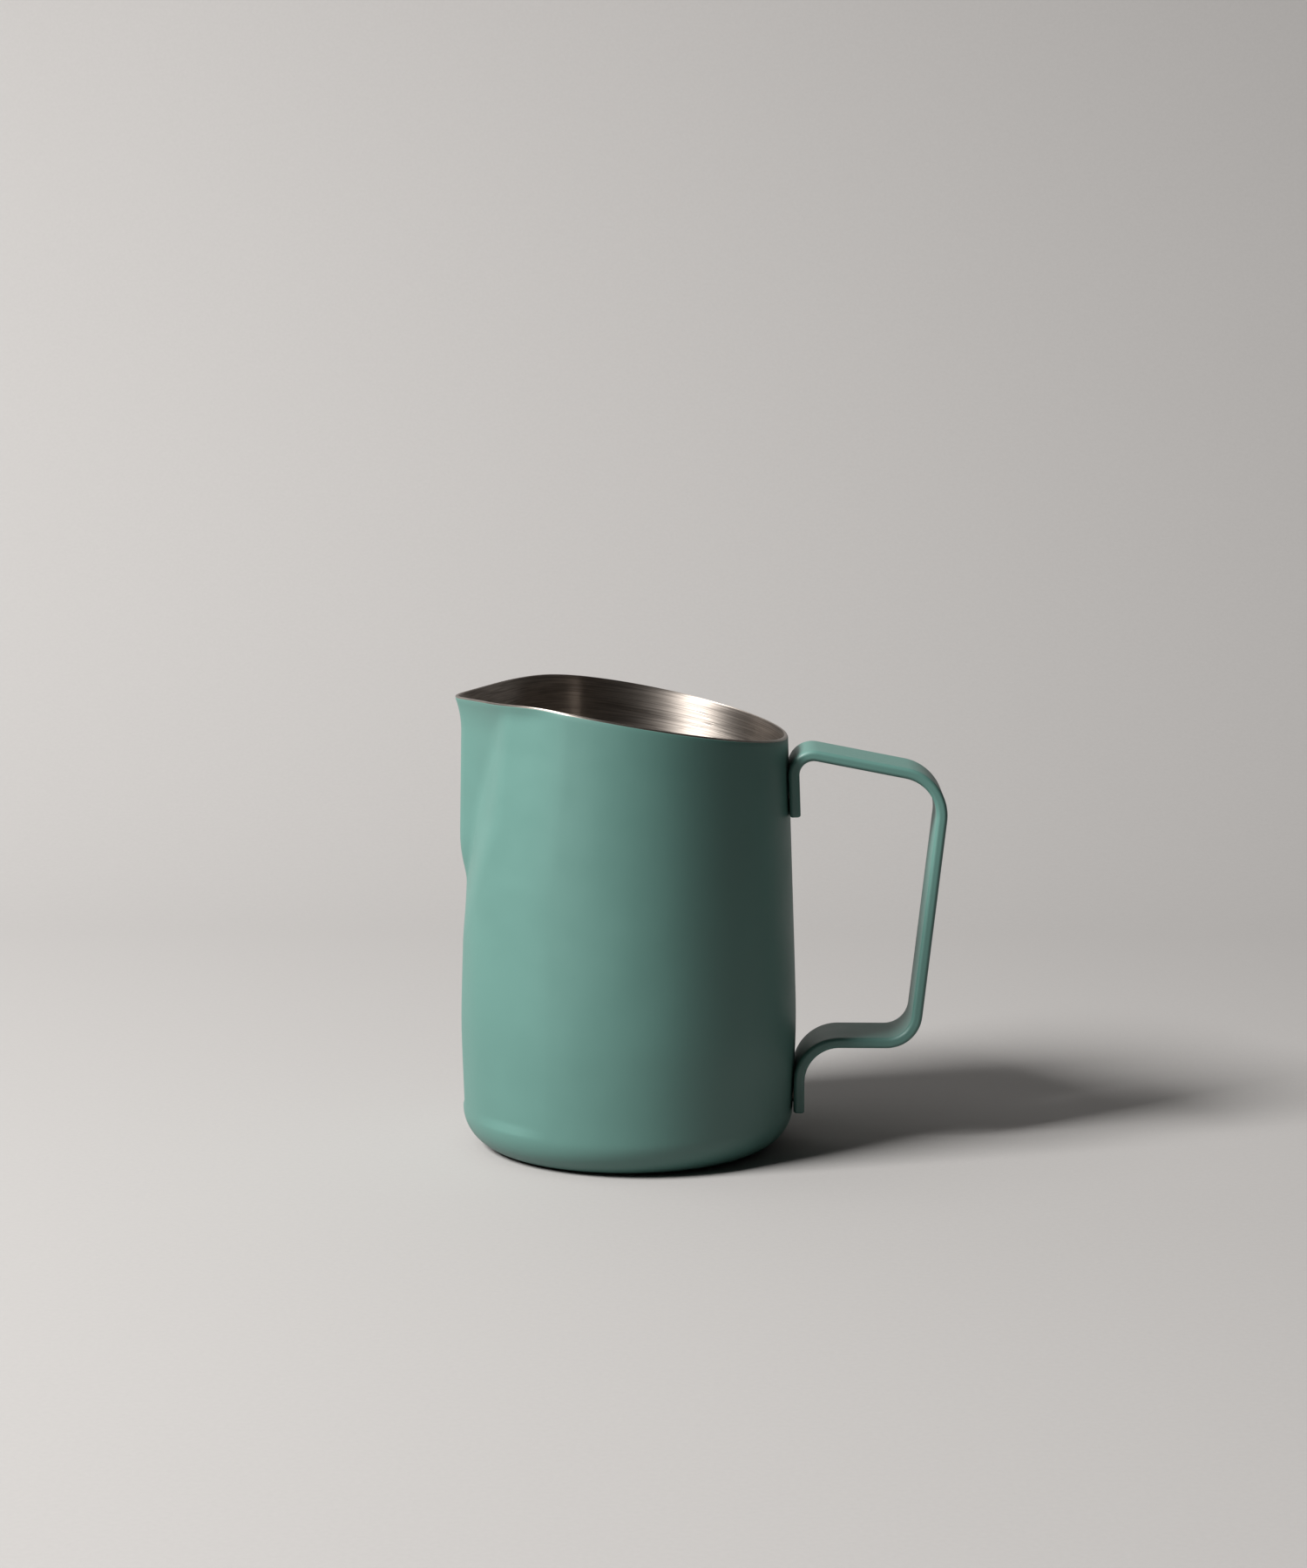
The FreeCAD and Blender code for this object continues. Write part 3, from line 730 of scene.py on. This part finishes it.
def bent_line(corners, radii, step, arc_step):
    """Points and directions along straight runs joined by tangent arcs.

    A run is divided evenly. An arc turns its start around its centre by even angles, and its
    direction is the incoming one turned by the same angle.
    """
    points, directions = [], []
    start = corners[0]
    for number, radius in enumerate(radii, start=1):
        incoming = corners[number] - corners[number - 1]
        incoming /= np.linalg.norm(incoming)
        outgoing = corners[number + 1] - corners[number]
        outgoing /= np.linalg.norm(outgoing)
        side = incoming[0] * outgoing[1] - incoming[1] * outgoing[0]
        turn = math.acos(np.clip(incoming @ outgoing, -1, 1))
        reach = radius * math.tan(turn / 2)
        bend_start = corners[number] - incoming * reach
        run = np.linspace(start, bend_start, max(2, round(np.linalg.norm(bend_start - start) / step) + 1))
        points.append(run[:-1])
        directions.append(np.repeat(incoming[None], len(run) - 1, axis=0))
        left = np.array([-incoming[1], incoming[0]]) * math.copysign(1, side)
        centre = bend_start + left * radius
        angles = np.linspace(0, turn, max(6, round(turn * radius / arc_step)))[:-1, None]
        points.append(centre - left * radius * np.cos(angles) + incoming * radius * np.sin(angles))
        directions.append(incoming * np.cos(angles) + left * np.sin(angles))
        start = corners[number] + outgoing * reach
    run = np.linspace(start, corners[-1], max(2, round(np.linalg.norm(corners[-1] - start) / step) + 1))
    points.append(run)
    directions.append(np.repeat(outgoing[None], len(run), axis=0))
    return np.vstack(points), np.vstack(directions)


def bar_section(handle, inset):
    """Rounded rectangle as (across the thickness, across the width), moved inwards by an inset.

    Quarter circles at the corners, and flats that have a point close to each end, so that the
    shading stays flat between them.
    """
    edge = max(handle.edge - inset, 0.02 * MM)
    half = np.array([handle.thickness / 2 - inset, handle.width / 2 - inset])
    arcs = []
    for number, side in enumerate(((1, 1), (-1, 1), (-1, -1), (1, -1))):
        turns = np.linspace(number, number + 1, 2 * EDGE_ROWS)[:, None] * math.pi / 2
        arcs.append(np.array(side) * (half - edge) + edge * np.hstack([np.cos(turns), np.sin(turns)]))
    shares = np.array(FLAT_SHARES)[:, None]
    parts = []
    for number, arc in enumerate(arcs):
        flat_end = arcs[(number + 1) % 4][0]
        parts.extend((arc, arc[-1] + (flat_end - arc[-1]) * shares))
    return np.vstack(parts)


def sweep_row(point, direction, section):
    """Section set square to the line: its first axis lies in the XZ-plane, its second against Y."""
    across = np.array([direction[1], -direction[0]])
    flat = point + section[:, :1] * across
    return np.stack([flat[:, 0], -section[:, 1], flat[:, 1]], axis=-1)


def fit_to_wall(scene, rows):
    """Move points of the pads that would stand in the coated wall straight out of it."""
    clearance = scene.pitcher_coating.film + scene.pitcher_handle.pad_gap
    x, y, height = rows[..., 0], rows[..., 1], rows[..., 2]
    turn = np.arctan2(y, -x)
    limit = wall_radius(scene, turn, height, -clearance)
    rows = rows.copy()
    rows[..., 0] = np.maximum(x, np.sqrt(limit**2 - y**2))
    return rows


def handle_rows(scene):
    """Rows of the bar: a rounded end, the sections along the bent line, and the other rounded end."""
    handle = scene.pitcher_handle
    corners = bar_corners(handle)
    ease = handle.end_edge
    for end, inner in ((0, 1), (-1, -2)):
        towards = corners[inner] - corners[end]
        corners[end] += towards / np.linalg.norm(towards) * ease
    radii = (handle.lower_pad_bend, handle.grip_foot_bend, handle.grip_head_bend, handle.upper_pad_bend)
    points, directions = bent_line(corners, radii, 2 * MM, 0.5 * MM)
    section = bar_section(handle, 0)
    body = [sweep_row(point, direction, section) for point, direction in zip(points, directions)]
    lifts = np.linspace(0, math.pi / 2, EDGE_ROWS + 1)[1:]
    caps = []
    for point, direction, sign in ((points[0], directions[0], -1), (points[-1], directions[-1], 1)):
        cap = []
        for lift in lifts:
            inset = ease * (1 - math.cos(lift))
            eased_point = point + sign * direction * ease * math.sin(lift)
            cap.append(sweep_row(eased_point, direction, bar_section(handle, inset)))
        flat_point = point + sign * direction * ease
        cap.append(sweep_row(flat_point, direction, bar_section(handle, ease + 0.1 * MM)))
        caps.append(cap)
        flat_centre = np.array([flat_point[0], 0, flat_point[1]])
        caps.append(flat_centre)
    first_cap, first_pole, last_cap, last_pole = caps
    rows = np.array(first_cap[::-1] + body + last_cap)
    return fit_to_wall(scene, rows), (first_pole, last_pole)


# ---------------------------------------------------------------- operators


class PITCHER_OT_cup(Operator):
    """Make the brushed steel cup: underside, outer side, cut rim, inner side and floor as one closed skin"""

    bl_idname = "pitcher.cup"
    bl_label = "Steel cup"

    def execute(self, context):
        scene = context.scene
        cup = scene.pitcher_cup
        angles = signed(column_angles())
        floor_radius = round_radius(cup, cup.base_corner) - cup.base_corner
        flat = np.linspace(0, 1, FLAT_ROWS + 1)[1:-1, None] * floor_radius
        lifts = np.linspace(0, math.pi / 2, CORNER_ROWS + 1)
        shares = np.linspace(0, 1, SIDE_ROWS + 1)
        quarter = np.linspace(0, math.pi / 2, EDGE_ROWS + 1)
        ease = cup.rim_rounding
        outer_insets = ease * (1 - np.cos(quarter))
        depths = ease * (1 - np.sin(quarter))
        inner_insets = cup.wall - outer_insets[::-1]
        rows = np.vstack(
            [
                around(flat, angles, 0.0),
                corner_rows(scene, angles, 0.0, lifts),
                side_rows(scene, angles, 0.0, ease, shares[1:-1]),
                rim_rows(scene, angles, outer_insets, depths),
                rim_rows(scene, angles, inner_insets, depths[::-1]),
                side_rows(scene, angles, cup.wall, ease, shares[1:-1])[::-1],
                corner_rows(scene, angles, cup.wall, lifts)[::-1],
                around(flat, angles, cup.wall)[::-1],
            ]
        )
        mesh = grid_mesh("steel_cup", rows, poles=(np.zeros(3), np.array([0, 0, cup.wall])))
        piece = add_object("steel_cup", mesh)
        finish_piece(piece, cup_steel(scene), "vessel")
        return {"FINISHED"}


class PITCHER_OT_coating(Operator):
    """Make the powder coating: a thin closed skin on the outside of the cup"""

    bl_idname = "pitcher.coating"
    bl_label = "Powder coating"

    def execute(self, context):
        scene = context.scene
        cup, coating = scene.pitcher_cup, scene.pitcher_coating
        angles = signed(column_angles())
        film = coating.film
        corner = cup.base_corner
        shares = np.linspace(0, 1, SIDE_ROWS + 1)
        quarter = np.linspace(0, math.pi / 2, 4)
        insets = -film * np.cos(quarter)
        depths = coating.rim_gap + film * (1 - np.sin(quarter))
        over_gap = corner - coating.base_gap
        outer_lifts = np.linspace(math.acos(over_gap / (corner + film)), math.pi / 2, CORNER_ROWS)
        inner_lifts = np.linspace(math.acos(over_gap / corner), math.pi / 2, CORNER_ROWS)
        rows = np.vstack(
            [
                corner_rows(scene, angles, -film, outer_lifts),
                side_rows(scene, angles, -film, depths[0], shares[1:-1]),
                rim_rows(scene, angles, insets, depths),
                side_rows(scene, angles, 0.0, depths[-1], shares[1:-1])[::-1],
                corner_rows(scene, angles, 0.0, inner_lifts)[::-1],
            ]
        )
        piece = add_object("powder_coating", grid_mesh("powder_coating", rows, closed_rows=True))
        finish_piece(piece, green_paint(scene), "vessel_coating")
        return {"FINISHED"}


class PITCHER_OT_handle(Operator):
    """Make the handle: a flat bar with rounded edges, bent round and fitted to the cup's wall"""

    bl_idname = "pitcher.handle"
    bl_label = "Bent bar handle"

    def execute(self, context):
        scene = context.scene
        rows, poles = handle_rows(scene)
        piece = add_object("bent_handle", grid_mesh("bent_handle", rows, poles=poles))
        finish_piece(piece, green_paint(scene), "handle")
        return {"FINISHED"}


class PITCHER_OT_welds(Operator):
    """Give the weld nuggets between pads and cup their finish"""

    bl_idname = "pitcher.welds"
    bl_label = "Weld nuggets"

    def execute(self, context):
        for name in ("upper_weld_nuggets", "lower_weld_nuggets"):
            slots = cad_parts[name].material_slots
            for slot in slots:
                slot.material = weld_steel(context.scene)
        return {"FINISHED"}


class PITCHER_OT_stage(Operator):
    """Make the paper sweep, the soft studio lights and the camera"""

    bl_idname = "pitcher.stage"
    bl_label = "Stage"

    def execute(self, context):
        scene = context.scene
        paper_sweep(scene)
        add_lights(scene)
        add_camera(scene)
        return {"FINISHED"}


# ---------------------------------------------------------------- stage


def paper_sweep(scene):
    """Floor that curves up into a backdrop: a level run, a quarter turn and an upright run."""
    stage = scene.pitcher_stage
    radius = stage.sweep_radius
    turns = np.linspace(0, math.pi / 2, SWEEP_ROWS)
    curve = stage.sweep_start + radius * np.sin(turns)
    y = np.concatenate([[-PAPER_REACH, 0.0], curve, [stage.sweep_start + radius]])
    z = np.concatenate([[0.0, 0.0], radius * (1 - np.cos(turns)), [PAPER_REACH]])
    x = np.array([-PAPER_REACH, PAPER_REACH])
    points = np.stack([np.tile(x, len(y)), np.repeat(y, 2), np.repeat(z, 2)], axis=-1)
    first = 2 * np.arange(len(y) - 1)[:, None]
    faces = first + np.array([0, 1, 3, 2])
    mesh = bpy.data.meshes.new("paper_sweep")
    mesh.from_pydata(points.tolist(), [], faces.tolist())
    mesh.polygons.foreach_set("use_smooth", np.ones(len(faces), dtype=bool))
    material, tree, shader = new_material("Pale paper")
    place = add_node(tree, "ShaderNodeTexCoord").outputs["Object"]
    fibres = noise(tree, place, 900.0, 3.0)
    tint = remap(tree, fibres, 0.3, 0.7, 0.0, 1.0)
    lighter = tuple(min(1.0, 1.03 * part) for part in stage.paper)
    connect(tree, mix_colour(tree, tint, stage.paper, lighter), shader.inputs["Base Color"])
    shader.inputs["Roughness"].default_value = 0.9
    shader.inputs["Specular IOR Level"].default_value = 0.2
    mesh.materials.append(material)
    return add_object("paper_sweep", mesh)


def area_light(name, place, target, size, power, warmth):
    light = bpy.data.lights.new(name, "AREA")
    light.shape = "SQUARE"
    light.size = size
    light.energy = power
    light.color = warmth
    lamp = bpy.data.objects.new(name, light)
    bpy.context.scene.collection.objects.link(lamp)
    lamp.location = place
    lamp.rotation_euler = (Vector(target) - Vector(place)).to_track_quat("-Z", "Y").to_euler()


def add_lights(scene):
    """Large soft key from the spout's side, a light for the backdrop and the dim even light of the room."""
    stage = scene.pitcher_stage
    level = math.cos(stage.key_elevation) * stage.key_distance
    middle = Vector((0, 0, (CAD_BOX[0][2] + CAD_BOX[1][2]) / 2))
    key = middle + Vector(
        (
            -level * math.cos(stage.key_bearing),
            -level * math.sin(stage.key_bearing),
            stage.key_distance * math.sin(stage.key_elevation),
        )
    )
    area_light("key", key, middle, stage.key_size, stage.key_power, LIGHT_TINT)
    area_light(
        "backdrop", BACKDROP_LIGHT, BACKDROP_AIM, BACKDROP_LIGHT_SIZE, stage.backdrop_power, LIGHT_TINT
    )
    world = bpy.data.worlds.new("room")
    world.use_nodes = True
    background = next(node for node in world.node_tree.nodes if node.type == "BACKGROUND")
    background.inputs["Color"].default_value = ROOM_TINT
    background.inputs["Strength"].default_value = stage.fill_level
    scene.world = world
    scene.view_settings.view_transform = "Standard"


def add_camera(scene):
    """Camera that looks slightly down and along +Y, square to the mirror plane but for a small turn."""
    stage = scene.pitcher_stage
    camera = bpy.data.cameras.new("camera")
    camera.sensor_width = 36
    camera.lens = stage.lens
    holder = bpy.data.objects.new("camera", camera)
    scene.collection.objects.link(holder)
    turn = stage.camera_turn
    x, y = stage.camera_side, -stage.camera_distance
    holder.location = (
        x * math.cos(turn) - y * math.sin(turn),
        x * math.sin(turn) + y * math.cos(turn),
        stage.camera_height,
    )
    holder.rotation_euler = (math.pi / 2 - stage.camera_tilt, 0, turn)
    scene.camera = holder


# ---------------------------------------------------------------- add-on


class PITCHER_PT_build(Panel):
    """Lists the steps that build the pitcher and the sizes they use"""

    bl_idname = "PITCHER_PT_build"
    bl_label = "Milk pitcher"
    bl_space_type = "VIEW_3D"
    bl_region_type = "UI"
    bl_category = "Milk pitcher"

    def draw(self, context):
        layout = self.layout
        for step in STEPS:
            layout.operator(step.bl_idname)
        for name in GROUPS:
            box = layout.box()
            settings = getattr(context.scene, name)
            for label in settings.bl_rna.properties.keys():
                if label not in ("rna_type", "name"):
                    box.prop(settings, label)


GROUPS = {
    "pitcher_cup": CupSizes,
    "pitcher_spout": SpoutSizes,
    "pitcher_coating": CoatingSizes,
    "pitcher_handle": HandleSizes,
    "pitcher_paint": PaintFinish,
    "pitcher_steel": SteelFinish,
    "pitcher_stage": StageLook,
}
STEPS = (PITCHER_OT_cup, PITCHER_OT_coating, PITCHER_OT_handle, PITCHER_OT_welds, PITCHER_OT_stage)


def register():
    for group in GROUPS.values():
        bpy.utils.register_class(group)
    for name, group in GROUPS.items():
        setattr(bpy.types.Scene, name, PointerProperty(type=group))
    for step in (*STEPS, PITCHER_PT_build):
        bpy.utils.register_class(step)


def unregister():
    for step in (PITCHER_PT_build, *reversed(STEPS)):
        bpy.utils.unregister_class(step)
    for name in GROUPS:
        delattr(bpy.types.Scene, name)
    for group in reversed(GROUPS.values()):
        bpy.utils.unregister_class(group)


def main():
    register()
    bpy.ops.pitcher.cup()
    bpy.ops.pitcher.coating()
    bpy.ops.pitcher.handle()
    bpy.ops.pitcher.welds()
    bpy.ops.pitcher.stage()


if __name__ == "__main__":
    main()
